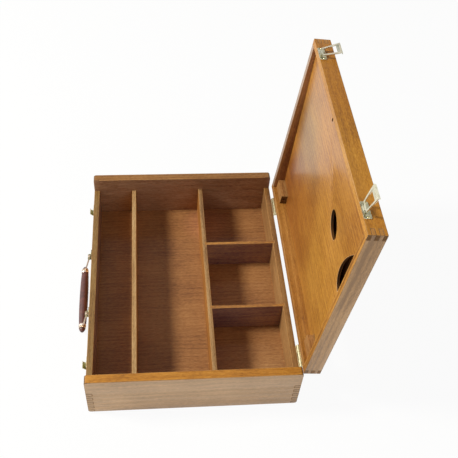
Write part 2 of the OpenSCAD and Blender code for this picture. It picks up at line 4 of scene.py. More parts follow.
import bmesh
import bpy
from mathutils import Matrix, Vector


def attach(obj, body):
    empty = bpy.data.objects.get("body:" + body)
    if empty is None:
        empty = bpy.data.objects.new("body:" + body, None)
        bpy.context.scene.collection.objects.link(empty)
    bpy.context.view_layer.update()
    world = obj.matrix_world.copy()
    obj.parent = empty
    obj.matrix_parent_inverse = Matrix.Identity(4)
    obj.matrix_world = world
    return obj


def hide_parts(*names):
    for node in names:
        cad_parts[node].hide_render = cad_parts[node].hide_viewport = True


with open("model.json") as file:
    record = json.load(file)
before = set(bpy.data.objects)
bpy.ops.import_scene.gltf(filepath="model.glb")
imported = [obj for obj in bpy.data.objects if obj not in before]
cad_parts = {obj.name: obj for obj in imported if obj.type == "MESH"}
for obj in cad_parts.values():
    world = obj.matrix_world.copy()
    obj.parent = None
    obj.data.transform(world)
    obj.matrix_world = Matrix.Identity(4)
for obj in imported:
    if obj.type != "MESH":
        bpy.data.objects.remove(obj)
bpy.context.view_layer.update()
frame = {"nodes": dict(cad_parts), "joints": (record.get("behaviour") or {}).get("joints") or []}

# Camera. It stands in front of the near end wall and looks down into the open box at about 50
# degrees. The photograph is a trimmed part of a wider picture, so the lens is shifted a little.
scene = bpy.context.scene
scene.view_settings.view_transform = "Standard"
camera_at = Vector((-0.05104, -0.69659, 0.96650))
camera_right = Vector((0.99635, -0.07141, 0.04684))
camera_up = Vector((0.02451, 0.76458, 0.64405))
camera_back = camera_right.cross(camera_up)
camera_data = bpy.data.cameras.new("camera")
camera_data.sensor_width = 36
camera_data.lens = 56.812
camera_data.shift_x = 0.03275
camera_data.shift_y = 0.02838
camera_data.clip_start = 0.01
camera = bpy.data.objects.new("camera", camera_data)
turn = Matrix((camera_right, camera_up, camera_back)).transposed()
camera.matrix_world = Matrix.Translation(camera_at) @ turn.to_4x4()
scene.collection.objects.link(camera)
scene.camera = camera

# Studio. A soft key lamp stands at the latch side, about 39 degrees up, and a weak one at the near
# end opens the shadows. The pale table and the white room show as plain white, with a faint shadow.
aim_at = Vector((0, 0, 0.1))


def lamp(name, height, turn, away, size, watts, tone):
    """A round lamp aimed at the box, so many degrees up and so many round from the latch side"""
    height, turn = math.radians(height), math.radians(turn)
    data = bpy.data.lights.new(name, "AREA")
    data.shape = "DISK"
    data.size = size
    data.energy = watts
    data.color = tone
    piece = bpy.data.objects.new(name, data)
    flat = away * math.cos(height)
    piece.location = aim_at + Vector((-flat * math.cos(turn), flat * math.sin(turn),
                                      away * math.sin(height)))
    piece.rotation_euler = (aim_at - piece.location).to_track_quat("-Z", "Y").to_euler()
    scene.collection.objects.link(piece)


lamp("key_lamp", height=39, turn=6, away=2.3, size=0.5, watts=62, tone=(1.0, 0.985, 0.87))
lamp("fill_lamp", height=25, turn=-112, away=2.6, size=1.4, watts=9.5, tone=(1.0, 0.97, 0.97))


def add(tree, kind, inputs=None, family="ShaderNode", **settings):
    """A node, with its inputs set to values or joined to one socket or several"""
    made = tree.nodes.new(family + kind)
    for key, value in settings.items():
        setattr(made, key, value)
    for key, value in (inputs or {}).items():
        if isinstance(value, bpy.types.NodeSocket):
            tree.links.new(value, made.inputs[key])
        elif isinstance(value, list):
            for socket in value:
                tree.links.new(socket, made.inputs[key])
        else:
            made.inputs[key].default_value = value
    return made


def bare_look(name):
    """A new material without nodes, and the tree that its nodes go into"""
    look = bpy.data.materials.new(name)
    look.use_nodes = True
    look.node_tree.nodes.clear()
    return look, look.node_tree


def seen_directly(tree):
    """1 for rays from the camera, a mirror or glass, and 0 for light that bounces"""
    path = add(tree, "LightPath")
    first = add(tree, "Math", {0: path.outputs["Is Camera Ray"], 1: path.outputs["Is Glossy Ray"]},
                operation="MAXIMUM")
    both = add(tree, "Math", {0: first.outputs[0], 1: path.outputs["Is Transmission Ray"]},
               operation="MAXIMUM")
    return both.outputs[0]


world = bpy.data.worlds.new("white_room")
scene.world = world
world.use_nodes = True
room = world.node_tree
room.nodes.clear()
room_light = add(room, "Background", {"Color": (0.96, 0.98, 1.0, 1), "Strength": 0.22})
room_white = add(room, "Background", {"Color": (1, 1, 1, 1), "Strength": 1.0})
room_mix = add(room, "MixShader", {0: seen_directly(room), 1: room_light.outputs[0],
                                   2: room_white.outputs[0]})
add(room, "OutputWorld", {"Surface": room_mix.outputs[0]})

table_look, table_tree = bare_look("white_table")
table_whiteness = 0.94
table_matt = add(table_tree, "BsdfDiffuse", {"Color": (0.86, 0.86, 0.85, 1)})
table_white = add(table_tree, "Emission", {"Color": (1, 1, 1, 1), "Strength": 1.0})
table_share = add(table_tree, "Math", {0: seen_directly(table_tree), 1: table_whiteness},
                  operation="MULTIPLY")
table_mix = add(table_tree, "MixShader", {0: table_share.outputs[0], 1: table_matt.outputs[0],
                                          2: table_white.outputs[0]})
add(table_tree, "OutputMaterial", {"Surface": table_mix.outputs[0]})
table_half = 6
table_gap = 0.0002  # keeps the table's face clear of the box's underside
table_mesh = bpy.data.meshes.new("table")
table_mesh.from_pydata([(-table_half, -table_half, 0), (table_half, -table_half, 0),
                        (table_half, table_half, 0), (-table_half, table_half, 0)], [], [(0, 1, 2, 3)])
table = bpy.data.objects.new("table", table_mesh)
table_mesh.materials.append(table_look)
table.location.z = -table_gap
scene.collection.objects.link(table)


# End walls. Two planed hardwood boards, the full height of the closed box, with their grain along
# the width. They are finger-jointed to the long walls, glued, stained and varnished.
def swing_limits(joint):
    """The least and the greatest angle of one of the box's joints, in degrees from rest"""
    return next(j for j in frame["joints"] if j["name"] == joint)["range_deg"]


lid_turn = -math.radians(swing_limits("lid_hinge")[0])
hinge_line = Vector((0.156, 0, 0.058))  # a point on the line that the lid turns about
grain_turn = {"X": (0, 0, 0), "Y": (0, 0, -math.pi / 2)}
in_mm = (1000, 1000, 1000)  # every pattern is sized in millimetres


def mixed(tree, share, under, over):
    """A colour between two others, the one under at a share of 0 and the one over at 1"""
    made = add(tree, "Mix", {"Factor": share, "A": under, "B": over}, data_type="RGBA")
    return next(s for s in made.outputs if s.type == "RGBA")


def wood(name, grain, dark, middle, light, tilt=0.0, seed=0.0, shine=0.3, contrast=1.0,
         streaks=0.0, ends=0.8, haze=0.16, grey_sheen=(), face_light=(), light_pools=(), joints=None):
    """Stained and varnished wood. grain is its direction in the closed box, and tilt the lid's turn.

    dark, middle and light are its tones, and seed is where in the trunk the board is cut. shine is
    how strong the varnish is, and haze how soft its mirror. contrast is how strong the fibres are,
    streaks how strong the long bands, and ends how light the end grain. grey_sheen pairs a
    direction in the closed box with how far a painted sheen greys the faces turned that way, and
    face_light pairs one with the colour factor of painted light or shade on those faces. light_pools
    gives each painted pool of light or shade: a middle and reach in the closed box and the factor
    there. joints gives where the corner joints start along X and Y, and how dark their lines are.
    """
    look, tree = bare_look(name)
    place = add(tree, "TexCoord")
    swung = hinge_line - Matrix.Rotation(-tilt, 3, "Y") @ hinge_line
    flat = add(tree, "Mapping", {"Vector": place.outputs["Object"], "Rotation": (0, -tilt, 0),
                                 "Location": swung})
    plank = add(tree, "Mapping", {"Vector": flat.outputs[0], "Rotation": grain_turn[grain],
                                  "Location": (seed * 173, seed * 57, seed * 31),
                                  "Scale": in_mm})
    face = add(tree, "Mapping", {"Vector": place.outputs["Normal"], "Rotation": (0, -tilt, 0)},
               vector_type="VECTOR")
    face_grain = add(tree, "Mapping", {"Vector": face.outputs[0], "Rotation": grain_turn[grain]},
                     vector_type="VECTOR")
    # The trunk's rings, cut by the board, bend slowly along the grain
    slow = add(tree, "VectorMath", {0: plank.outputs[0], 1: (0.0035, 0.012, 0.012)}, operation="MULTIPLY")
    bend = add(tree, "TexNoise", {"Vector": slow.outputs[0], "Scale": 1.6, "Detail": 2.0})
    centred = add(tree, "VectorMath", {0: bend.outputs["Color"], 1: (0.5, 0.5, 0.5)}, operation="SUBTRACT")
    bent = add(tree, "VectorMath", {0: centred.outputs[0], 1: (0, 16, 16)}, operation="MULTIPLY")
    trunk = add(tree, "VectorMath", {0: plank.outputs[0], 1: bent.outputs[0]}, operation="ADD")
    rings = add(tree, "TexWave", {"Vector": trunk.outputs[0], "Scale": 0.052, "Distortion": 2.0,
                                  "Detail": 2.0, "Detail Scale": 0.6}, wave_type="RINGS",
                rings_direction="X")
    # Fibres and pores are long along the grain
    long_way = add(tree, "VectorMath", {0: trunk.outputs[0], 1: (0.03, 1, 1)}, operation="MULTIPLY")
    fibres = add(tree, "TexNoise", {"Vector": long_way.outputs[0], "Scale": 0.42, "Detail": 8.0,
                                    "Roughness": 0.74})
    pore_way = add(tree, "VectorMath", {0: plank.outputs[0], 1: (0.14, 1, 1)}, operation="MULTIPLY")
    pores = add(tree, "TexNoise", {"Vector": pore_way.outputs[0], "Scale": 2.1, "Detail": 2.0})
    pore_mask = add(tree, "MapRange", {0: pores.outputs[0], 1: 0.60, 2: 0.72, 3: 0.0, 4: 1.0})
    patches = add(tree, "TexNoise", {"Vector": plank.outputs[0], "Scale": 0.013, "Detail": 2.0})
    fleck_way = add(tree, "VectorMath", {0: plank.outputs[0], 1: (0.22, 1, 1)}, operation="MULTIPLY")
    flecks = add(tree, "TexNoise", {"Vector": fleck_way.outputs[0], "Scale": 0.75, "Detail": 3.0,
                                    "Roughness": 0.6})
    fleck_part = add(tree, "MapRange", {0: flecks.outputs[0], 1: 0.3, 2: 0.7, 3: -0.26 * contrast,
                                        4: 0.26 * contrast})
    ring_part = add(tree, "MapRange", {0: rings.outputs["Fac"], 1: 0.0, 2: 1.0, 3: -0.07 * contrast,
                                       4: 0.07 * contrast})
    fibre_part = add(tree, "MapRange", {0: fibres.outputs[0], 1: 0.25, 2: 0.75, 3: -0.34 * contrast,
                                        4: 0.34 * contrast})
    patch_part = add(tree, "MapRange", {0: patches.outputs[0], 1: 0.3, 2: 0.7, 3: -0.2, 4: 0.2})
    band_way = add(tree, "VectorMath", {0: plank.outputs[0], 1: (0.008, 1, 1)}, operation="MULTIPLY")
    bands = add(tree, "TexNoise", {"Vector": band_way.outputs[0], "Scale": 0.17, "Detail": 3.0})
    band_part = add(tree, "MapRange", {0: bands.outputs[0], 1: 0.3, 2: 0.7, 3: -streaks, 4: streaks})
    figure = ring_part
    for part in (fibre_part, patch_part, fleck_part, band_part):
        figure = add(tree, "Math", {0: figure.outputs[0], 1: part.outputs[0]}, operation="ADD")
    tone = add(tree, "Math", {0: figure.outputs[0], 1: 0.5}, operation="ADD")
    ramp = add(tree, "ValToRGB", {"Fac": tone.outputs[0]})
    ramp.color_ramp.elements[0].position = 0.1
    ramp.color_ramp.elements[0].color = (*dark, 1)
    ramp.color_ramp.elements[1].position = 0.9
    ramp.color_ramp.elements[1].color = (*light, 1)
    ramp.color_ramp.elements.new(0.5).color = (*middle, 1)
    pore_share = add(tree, "Math", {0: pore_mask.outputs[0], 1: 0.4}, operation="MULTIPLY")
    colour = mixed(tree, pore_share.outputs[0], ramp.outputs[0],
                   (dark[0] * 0.45, dark[1] * 0.4, dark[2] * 0.4, 1))
    # End grain drinks more stain, and shows the rings and the pores as dots
    across = add(tree, "SeparateXYZ", {0: face_grain.outputs[0]})
    end_on = add(tree, "Math", {0: across.outputs[0]}, operation="ABSOLUTE")
    is_end = add(tree, "MapRange", {0: end_on.outputs[0], 1: 0.3, 2: 0.75, 3: 0.0, 4: 1.0})
    dots = add(tree, "TexNoise", {"Vector": plank.outputs[0], "Scale": 1.3, "Detail": 4.0})
    end_tone = add(tree, "ValToRGB", {"Fac": dots.outputs[0]})
    end_tone.color_ramp.elements[0].position = 0.3
    end_tone.color_ramp.elements[0].color = (*(part * ends * 0.65 for part in middle), 1)
    end_tone.color_ramp.elements[1].position = 0.75
    end_tone.color_ramp.elements[1].color = (*(part * ends * 1.1 for part in middle), 1)
    colour = mixed(tree, is_end.outputs[0], colour, end_tone.outputs[0])
    # Painted light and shade: faces turned one way are lightened, darkened or given a warmer or cooler cast
    for way, light_factor in face_light:
        toward = add(tree, "VectorMath", {0: face.outputs[0], 1: way}, operation="DOT_PRODUCT")
        is_side = add(tree, "MapRange", {0: toward.outputs["Value"], 1: 0.45, 2: 0.85, 3: 0.0, 4: 1.0})
        relit_face_colour = add(tree, "VectorMath", {0: colour, 1: light_factor}, operation="MULTIPLY")
        colour = mixed(tree, is_side.outputs[0], colour, relit_face_colour.outputs[0])
    # Painted pools of light and shade: round each given place the colour is lightened or darkened, with a
    # wavy rim
    for middle_at, reach, light_factor in light_pools:
        from_it = add(tree, "VectorMath", {0: flat.outputs[0], 1: middle_at}, operation="DISTANCE")
        wavy = add(tree, "MapRange", {0: patches.outputs[0], 1: 0.3, 2: 0.7, 3: -0.2 * reach,
                                      4: 0.2 * reach})
        far_off = add(tree, "Math", {0: from_it.outputs["Value"], 1: wavy.outputs[0]}, operation="ADD")
        in_light_pool = add(tree, "MapRange", {0: far_off.outputs[0], 1: 0.15 * reach, 2: reach, 3: 1.0, 4: 0.0},
                      interpolation_type="SMOOTHSTEP")
        relit_pool_colour = add(tree, "VectorMath", {0: colour, 1: light_factor}, operation="MULTIPLY")
        colour = mixed(tree, in_light_pool.outputs[0], colour, relit_pool_colour.outputs[0])
    # A painted sheen: faces turned one way are drawn towards a pale greyish tan, as if they mirrored the
    # white room
    for way, sheen_strength in grey_sheen:
        toward = add(tree, "VectorMath", {0: face.outputs[0], 1: way}, operation="DOT_PRODUCT")
        is_pale = add(tree, "MapRange", {0: toward.outputs["Value"], 1: 0.75, 2: 0.95, 3: 0.0, 4: sheen_strength})
        level = add(tree, "MapRange", {0: tone.outputs[0], 1: 0.1, 2: 0.9, 3: 0.77, 4: 1.17})
        grey = add(tree, "VectorMath", {0: (0.70, 0.48, 0.30), "Scale": level.outputs[0]},
                   operation="SCALE")
        colour = mixed(tree, is_pale.outputs[0], colour, grey.outputs[0])
    if joints:
        # Glue and dirt sit in the level lines between the fingers of the corner joints
        parts = add(tree, "SeparateXYZ", {0: flat.outputs[0]})
        past = []
        *starts, darkness = joints
        for axis, start in enumerate(starts):
            off = add(tree, "Math", {0: parts.outputs[axis]}, operation="ABSOLUTE")
            past.append(add(tree, "Math", {0: off.outputs[0], 1: start}, operation="GREATER_THAN"))
        both = add(tree, "Math", {0: past[0].outputs[0], 1: past[1].outputs[0]}, operation="MULTIPLY")
        facing = add(tree, "SeparateXYZ", {0: face.outputs[0]})
        level = add(tree, "Math", {0: facing.outputs[2]}, operation="ABSOLUTE")
        is_line = add(tree, "MapRange", {0: level.outputs[0], 1: 0.1, 2: 0.3, 3: 0.0, 4: darkness})
        share = add(tree, "Math", {0: both.outputs[0], 1: is_line.outputs[0]}, operation="MULTIPLY")
        colour = mixed(tree, share.outputs[0], colour, (0.06, 0.028, 0.014, 1))
    rough = add(tree, "MapRange", {0: fibres.outputs[0], 1: 0.2, 2: 0.8, 3: 0.40, 4: 0.58})
    height = add(tree, "Math", {0: fibres.outputs[0], 1: pore_mask.outputs[0]}, operation="SUBTRACT")
    relief = add(tree, "Bump", {"Strength": 0.25, "Distance": 0.0002, "Height": height.outputs[0]})
    shader = add(tree, "BsdfPrincipled", {
        "Base Color": colour, "Roughness": rough.outputs[0], "Normal": relief.outputs[0],
        "Specular IOR Level": shine, "Coat Weight": shine, "Coat Roughness": haze})
    add(tree, "OutputMaterial", {"Surface": shader.outputs[0]})
    return look


def add_piece(name, body, mesh, node=None):
    """A finished mesh as a piece of a body, in place of a CAD node where one is named"""
    piece = bpy.data.objects.new(name, mesh)
    scene.collection.objects.link(piece)
    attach(piece, body)
    if node:
        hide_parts(node)


def smooth_but_for(mesh, fold):
    """Shades a mesh as smooth, with a crease wherever it folds by more than so many degrees"""
    mesh.shade_smooth()
    mesh.set_sharp_from_angle(angle=math.radians(fold))


same_point = 1e-6  # corners of CAD triangles this near each other are one corner
same_point_stamped = 1e-5
stamped_sliver = 2e-5  # a face of a stamped part thinner than this is closed up
on_the_floor = 1e-5
long_side = 0.1524  # just inside the outer face of the long walls
sliver_area = 0.3e-6
sliver_corner = math.radians(8)
eased_fold = math.radians(40)  # edges that fold by less than this aren't worth sanding
shortest_eased = 0.0004


def board(node, body, look, edge_look, round_over=0.0005, foot=0.0, stamped=False):
    """A copy of a CAD board with its edges eased by sandpaper, which shows the edge wood, lighter for
    rubbed stain and a painted highlight

    foot is the radius of the box's worn lower edge. The edges of a sliver face stay sharp, and
    on a stamped part the slivers between two cuts are closed up first.
    """
    shape = bmesh.new()
    shape.from_mesh(frame["nodes"][node].data)
    bmesh.ops.remove_doubles(shape, verts=shape.verts,
                             dist=same_point_stamped if stamped else same_point)
    if stamped:
        bmesh.ops.dissolve_degenerate(shape, dist=stamped_sliver, edges=shape.edges)
    bmesh.ops.dissolve_limit(shape, angle_limit=math.radians(0.5), verts=shape.verts, edges=shape.edges)
    for face in shape.faces:
        face.material_index = 0
    if foot:
        low = [e for e in shape.edges
               if all(v.co.z < on_the_floor and abs(v.co.x) > long_side for v in e.verts)]
        bmesh.ops.bevel(shape, geom=low, offset=foot, segments=5, profile=0.5, affect="EDGES")
    slivers = {e for face in shape.faces if face.calc_area() < sliver_area
               and min(c.calc_angle() for c in face.loops) < sliver_corner for e in face.edges}
    sharp = [e for e in shape.edges if len(e.link_faces) == 2 and e not in slivers
             and e.calc_face_angle(0) > eased_fold and e.calc_length() > shortest_eased]
    bmesh.ops.bevel(shape, geom=sharp, offset=round_over, segments=2, profile=0.5, affect="EDGES",
                    material=1, clamp_overlap=False)
    mesh = bpy.data.meshes.new(node + "_board")
    shape.to_mesh(mesh)
    shape.free()
    mesh.materials.append(look)
    mesh.materials.append(edge_look)
    smooth_but_for(mesh, 25)
    add_piece(node + "_board", body, mesh, node)


# The dark, middle and light tones of the stained wood, and the lighter tones of its edges: rubbed stain and
# painted highlight
oak = ((0.245, 0.098, 0.020), (0.42, 0.185, 0.036), (0.54, 0.265, 0.062))
rubbed_and_highlit = ((0.30, 0.14, 0.045), (0.45, 0.23, 0.08), (0.58, 0.33, 0.13))
tray_joints = (0.1432, 0.1877, 0.7)
edge_wood = wood("edge_wood_tray", "X", *rubbed_and_highlit, seed=3, shine=0.15, joints=tray_joints)
# Painted light: a painted sheen greys the outer faces, painted light warms the near wall's top, painted
# shade darkens the far wall's top and cools its inner face, and a painted pool lightens that inner face
near_wall_wood = wood("near_wall_wood", "X", *oak, seed=1, shine=0.2, ends=0.35,
                      grey_sheen=[((0, -1, 0), 0.78)], face_light=[((0, 0, 1), (1.06, 0.99, 0.68))])
far_wall_wood = wood("far_wall_wood", "X", *oak, seed=2, shine=0.15, ends=0.4,
                     grey_sheen=[((0, 1, 0), 0.7)],
                     face_light=[((0, -1, 0), (0.82, 0.98, 2.6)), ((0, 0, 1), (0.66, 0.67, 1.0))],
                     light_pools=[((0.095, 0.188, 0.035), 0.06, (1.25, 1.32, 1.45))])
board("near_end_wall", "tray", near_wall_wood, edge_wood, 0.0006, 0.004)
board("far_end_wall", "tray", far_wall_wood, edge_wood, 0.0006, 0.004)

# Long walls. Thinner boards with their grain along the box, whose fingers show dark end grain on
# the end walls. The latch wall carries the catches and the handle, and the hinge wall the hinges.
# Painted light: a painted sheen greys the finger ends, and painted shade darkens the tops and the inner
# faces, with a cooler cast inside
latch_wall_wood = wood("latch_wall_wood", "Y", *oak, seed=4, shine=0.2,
                       grey_sheen=[((0, -1, 0), 0.7), ((0, 1, 0), 0.6)],
                       face_light=[((0, 0, 1), (0.56, 0.69, 1.1)), ((1, 0, 0), (0.56, 0.72, 2.6))])
hinge_wall_wood = wood("hinge_wall_wood", "Y", *oak, seed=5, shine=0.2, streaks=0.25,
                       grey_sheen=[((0, -1, 0), 0.7), ((0, 1, 0), 0.6)],
                       face_light=[((-1, 0, 0), (0.86, 1.0, 1.86)), ((0, 0, 1), (0.57, 0.60, 0.82))])
edge_wood_long = wood("edge_wood_long", "Y", *rubbed_and_highlit, seed=6, shine=0.15, joints=tray_joints)
board("latch_wall", "tray", latch_wall_wood, edge_wood_long, 0.0005, 0.004)
board("hinge_wall", "tray", hinge_wall_wood, edge_wood_long, 0.0005, 0.004)

# Floor. A thin stained plywood panel, nailed into a rebate from below, with its face grain across
# the box.
# Painted light: the face is lightened a little, and painted pools lighten the shaded floor of the two paint
# bays
floor_wood = wood("floor_wood", "X", (0.172, 0.070, 0.032), (0.298, 0.134, 0.053),
                  (0.405, 0.198, 0.080), seed=7, shine=0.12, contrast=0.9,
                  face_light=[((0, 0, 1), (1.05, 1.05, 1.0))],
                  light_pools=[((0.045, 0.15, 0.004), 0.055, (1.36, 1.34, 1.6)),
                          ((0.112, -0.165, 0.004), 0.085, (1.2, 1.36, 1.5))])
board("floor_panel", "tray", floor_wood, floor_wood, 0.0002)

# Dividers. Two long ones run between the end walls, and two short ones are let into grooves.
# They are planed strips of the same wood, with the varnish thinner than outside.
# Painted light: the tops are lightened with a cool cast, and painted shade darkens and recolours the paint
# divider's side towards the latch and the cross dividers' near faces
divider_wood = wood("divider_wood", "Y", *oak, seed=8, shine=0.1, face_light=[((0, 0, 1), (1.03, 1.42, 3.2))])
paint_divider_wood = wood("paint_divider_wood", "Y", *oak, seed=9, shine=0.1, streaks=0.25,
                          face_light=[((0, 0, 1), (0.92, 1.24, 2.8)), ((-1, 0, 0), (0.84, 0.77, 0.88))])
cross_wood = wood("cross_wood", "X", (0.172, 0.070, 0.032), (0.33, 0.15, 0.05),
                  (0.54, 0.265, 0.062), seed=10, shine=0.1, face_light=[((0, -1, 0), (0.8, 0.92, 2.2))])
board("brush_divider", "tray", divider_wood, edge_wood_long)
board("paint_divider", "tray", paint_divider_wood, edge_wood_long)
board("cross_divider_far", "tray", cross_wood, edge_wood, 0.0004)
board("cross_divider_near", "tray", cross_wood, edge_wood, 0.0004)

# Lid rails. Four finger-jointed boards make the lid's frame, which closes between the end walls.
# They are cut from the same stained wood as the tray, with their grain along them.
# Painted light: a painted sheen greys the outer faces of the near and far rails, painted shade darkens the
# far rail's inner face and the hinge rail's rim, a painted cool cast recolours the far rail's rim, painted
# light warms the latch rail's outer face, and a painted pool lightens part of it
near_rail_wood = wood("near_rail_wood", "X", *oak, tilt=lid_turn, seed=11,
                      shine=0.2, streaks=0.42, ends=1.4, grey_sheen=[((0, -1, 0), 0.52)])
far_rail_wood = wood("far_rail_wood", "X", *oak, tilt=lid_turn, seed=12,
                     shine=0.2, ends=1.4, grey_sheen=[((0, 1, 0), 0.6)],
                     face_light=[((0, -1, 0), (0.72, 0.66, 1.1)), ((0, 0, -1), (0.82, 1.25, 4.6))])
long_rail_wood = wood("long_rail_wood", "Y", *oak, tilt=lid_turn, seed=13,
                      shine=0.15, ends=0.55, face_light=[((-1, 0, 0), (1.1, 0.97, 0.56))],
                      light_pools=[((-0.152, -0.06, 0.07), 0.13, (1.12, 1.22, 1.3))])
hinge_rail_wood = wood("hinge_rail_wood", "Y", *oak, tilt=lid_turn, seed=14,
                       shine=0.3, face_light=[((0, 0, -1), (0.84, 0.78, 0.74))])
lid_joints = (0.1432, 0.1772, 0.3)
edge_wood_lid = wood("edge_wood_lid", "Y", *rubbed_and_highlit, tilt=lid_turn, seed=15, shine=0.2, joints=lid_joints)
board("lid_near_rail", "lid", near_rail_wood, edge_wood_lid)
board("lid_far_rail", "lid", far_rail_wood, edge_wood_lid)
board("lid_latch_rail", "lid", long_rail_wood, edge_wood_lid)
board("lid_hinge_rail", "lid", hinge_rail_wood, edge_wood_lid)

# Lid panel, blocks and strip. The plywood panel is nailed into a rebate. Two blocks stand beside the
# hinge rail, and a strip beside the latch rail holds the palette's upper edge off the panel.
# Painted shade darkens the panel's inner face, which shows through the palette's thumb hole
panel_wood = wood("panel_wood", "Y", (0.22, 0.09, 0.024), (0.37, 0.165, 0.04), (0.48, 0.235, 0.062),
                  tilt=lid_turn, seed=16, shine=0.3, face_light=[((0, 0, -1), (0.42, 0.38, 0.55))])
block_wood = wood("block_wood", "Y", (0.20, 0.085, 0.028), (0.36, 0.17, 0.055), (0.50, 0.26, 0.10),
                  tilt=lid_turn, seed=17, shine=0.15, ends=0.42)
board("lid_panel", "lid", panel_wood, panel_wood, 0.0002)
board("block_far", "lid", block_wood, edge_wood_lid, 0.0004)
board("block_near", "lid", block_wood, edge_wood_lid, 0.0004)
board("strip_latch", "lid", block_wood, edge_wood_lid, 0.0002)

# Palette. A varnished 4 mm board with a smooth glossy face, an oval thumb hole and a cut-out for
# the fingers, both with eased rims. It leans in the lid, against the strip.
# Painted shade darkens the edges and hole walls that face across the box, and painted pools of light and
# shade lighten, darken or recolour parts of the face
palette_wood = wood("palette_wood", "Y", (0.25, 0.090, 0.012), (0.39, 0.160, 0.023), (0.51, 0.240, 0.040),
                    tilt=lid_turn, seed=18, shine=0.42, contrast=1.2, streaks=0.12, ends=0.11, haze=0.22,
                    face_light=[((1, 0, 0), (0.25, 0.22, 0.22)), ((-1, 0, 0), (0.25, 0.22, 0.22))],
                    light_pools=[((0.142, 0.155, 0.074), 0.15, (0.70, 0.56, 0.50)),
                            ((0.06, -0.08, 0.072), 0.19, (1.10, 1.16, 1.12)),
                            ((0.072, 0.068, 0.072), 0.12, (0.78, 0.64, 0.50)),
                            ((-0.03, 0.105, 0.072), 0.10, (0.76, 0.90, 1.30))])
# The rim's lighter tones are partly rubbed wood and partly a painted highlight
rim_wood = wood("palette_rim_wood", "Y", (0.42, 0.20, 0.07), (0.56, 0.30, 0.12), (0.68, 0.40, 0.19),
                tilt=lid_turn, seed=19, shine=0.3, ends=0.9)
board("palette", "palette", palette_wood, rim_wood, 0.0005)


# Hinge leaves. Each hinge is a pair of pressed brass leaves, one on the tray's hinge wall and one on
# the lid's rail, with knuckles rolled round a brass pin that stays with the tray.
def plated(name, bright, dull, rough, seed):
    """Thin bright metal, with a little tarnish in patches and fine scratches from handling"""
    look, tree = bare_look(name)
    place = add(tree, "TexCoord")
    spot = add(tree, "Mapping", {"Vector": place.outputs["Object"], "Location": (seed, seed * 0.7, 0),
                                 "Scale": in_mm})
    patches = add(tree, "TexNoise", {"Vector": spot.outputs[0], "Scale": 0.22, "Detail": 5.0})
    fine = add(tree, "VectorMath", {0: spot.outputs[0], 1: (0.3, 4.0, 4.0)}, operation="MULTIPLY")
    scratches = add(tree, "TexNoise", {"Vector": fine.outputs[0], "Scale": 1.0, "Detail": 4.0})
    tarnish = add(tree, "MapRange", {0: patches.outputs[0], 1: 0.42, 2: 0.68, 3: 0.0, 4: 1.0})
    colour = mixed(tree, tarnish.outputs[0], (*bright, 1), (*dull, 1))
    shade = add(tree, "MapRange", {0: scratches.outputs[0], 1: 0.25, 2: 0.75, 3: rough - 0.08,
                                   4: rough + 0.12})
    relief = add(tree, "Bump", {"Strength": 0.15, "Distance": 0.00005, "Height": scratches.outputs[0]})
    shader = add(tree, "BsdfPrincipled", {"Base Color": colour, "Metallic": 1.0,
                                          "Roughness": shade.outputs[0], "Normal": relief.outputs[0]})
    add(tree, "OutputMaterial", {"Surface": shader.outputs[0]})
    return look


def metal_part(node, body, look):
    """A copy of a stamped CAD part with its edges rounded and brightened, for wear and a painted glint"""
    board(node, body, look, worn_and_glint_brass, 0.0002, stamped=True)


# Brighter brass, used for rubbed edges and the near bead: partly wear and partly a painted glint
worn_and_glint_brass = plated("worn_and_glint_brass", (0.86, 0.80, 0.60), (0.70, 0.63, 0.42), 0.22, 5)
hinge_brass = plated("hinge_brass", (0.74, 0.67, 0.43), (0.48, 0.41, 0.23), 0.3, 11)
pin_brass = plated("pin_brass", (0.52, 0.46, 0.28), (0.34, 0.29, 0.16), 0.4, 23)
for end in ("far", "near"):
    metal_part("base_leaf_" + end, "tray", hinge_brass)
    metal_part("lid_leaf_" + end, "lid", hinge_brass)
    metal_part("hinge_pin_" + end, "tray", pin_brass)

# Catches. A duller plate on the latch wall, below each latch, carries a folded tongue of spring
# brass. The window of the shut hasp goes over the tongue, which holds the lid down.
catch_brass = plated("catch_brass", (0.54, 0.50, 0.31), (0.27, 0.25, 0.13), 0.22, 31)
for end in ("far", "near"):
    metal_part("catch_" + end, "tray", catch_brass)

# Latches. Each has a screwed plate, a pin and a stamped hasp with a window, plated pale. The far
# hasp and its bead are given darker brass than the near ones: painted shade.
# The plates' darker brass is painted shade, standing for the dark wood they mirror
plate_brass = plated("plate_brass", (0.42, 0.40, 0.27), (0.21, 0.20, 0.12), 0.22, 31)
hasp_brass = {"far": plated("hasp_brass_far_painted_shade", (0.50, 0.49, 0.39), (0.30, 0.30, 0.22), 0.24, 47),
              "near": plated("hasp_brass_near", (0.76, 0.73, 0.56), (0.56, 0.53, 0.36), 0.2, 47)}
bead_brass = {"far": plated("bead_brass_far_painted_shade", (0.74, 0.62, 0.46), (0.50, 0.43, 0.31), 0.24, 53),
              "near": worn_and_glint_brass}
for end in ("far", "near"):
    metal_part("hasp_plate_" + end, "lid", plate_brass)
    metal_part("hasp_pin_" + end, "lid", pin_brass)
    metal_part("hasp_" + end, "hasp_" + end, hasp_brass[end])


def grown(name, start, tree, sizes):
    """The plain mesh that a Geometry Nodes tree makes from a start mesh, with the tree's sizes set"""
    seed_piece = bpy.data.objects.new(name, start)
    scene.collection.objects.link(seed_piece)
    modifier = seed_piece.modifiers.new("made", "NODES")
    modifier.node_group = tree
    for item in tree.interface.items_tree:
        if item.item_type == "SOCKET" and item.in_out == "INPUT" and item.name in sizes:
            modifier[item.identifier] = sizes[item.name]
    evaluated = seed_piece.evaluated_get(bpy.context.evaluated_depsgraph_get())
    made = bpy.data.meshes.new_from_object(evaluated)
    made.name = name
    bpy.data.objects.remove(seed_piece)
    smooth_but_for(made, 25)
    return made


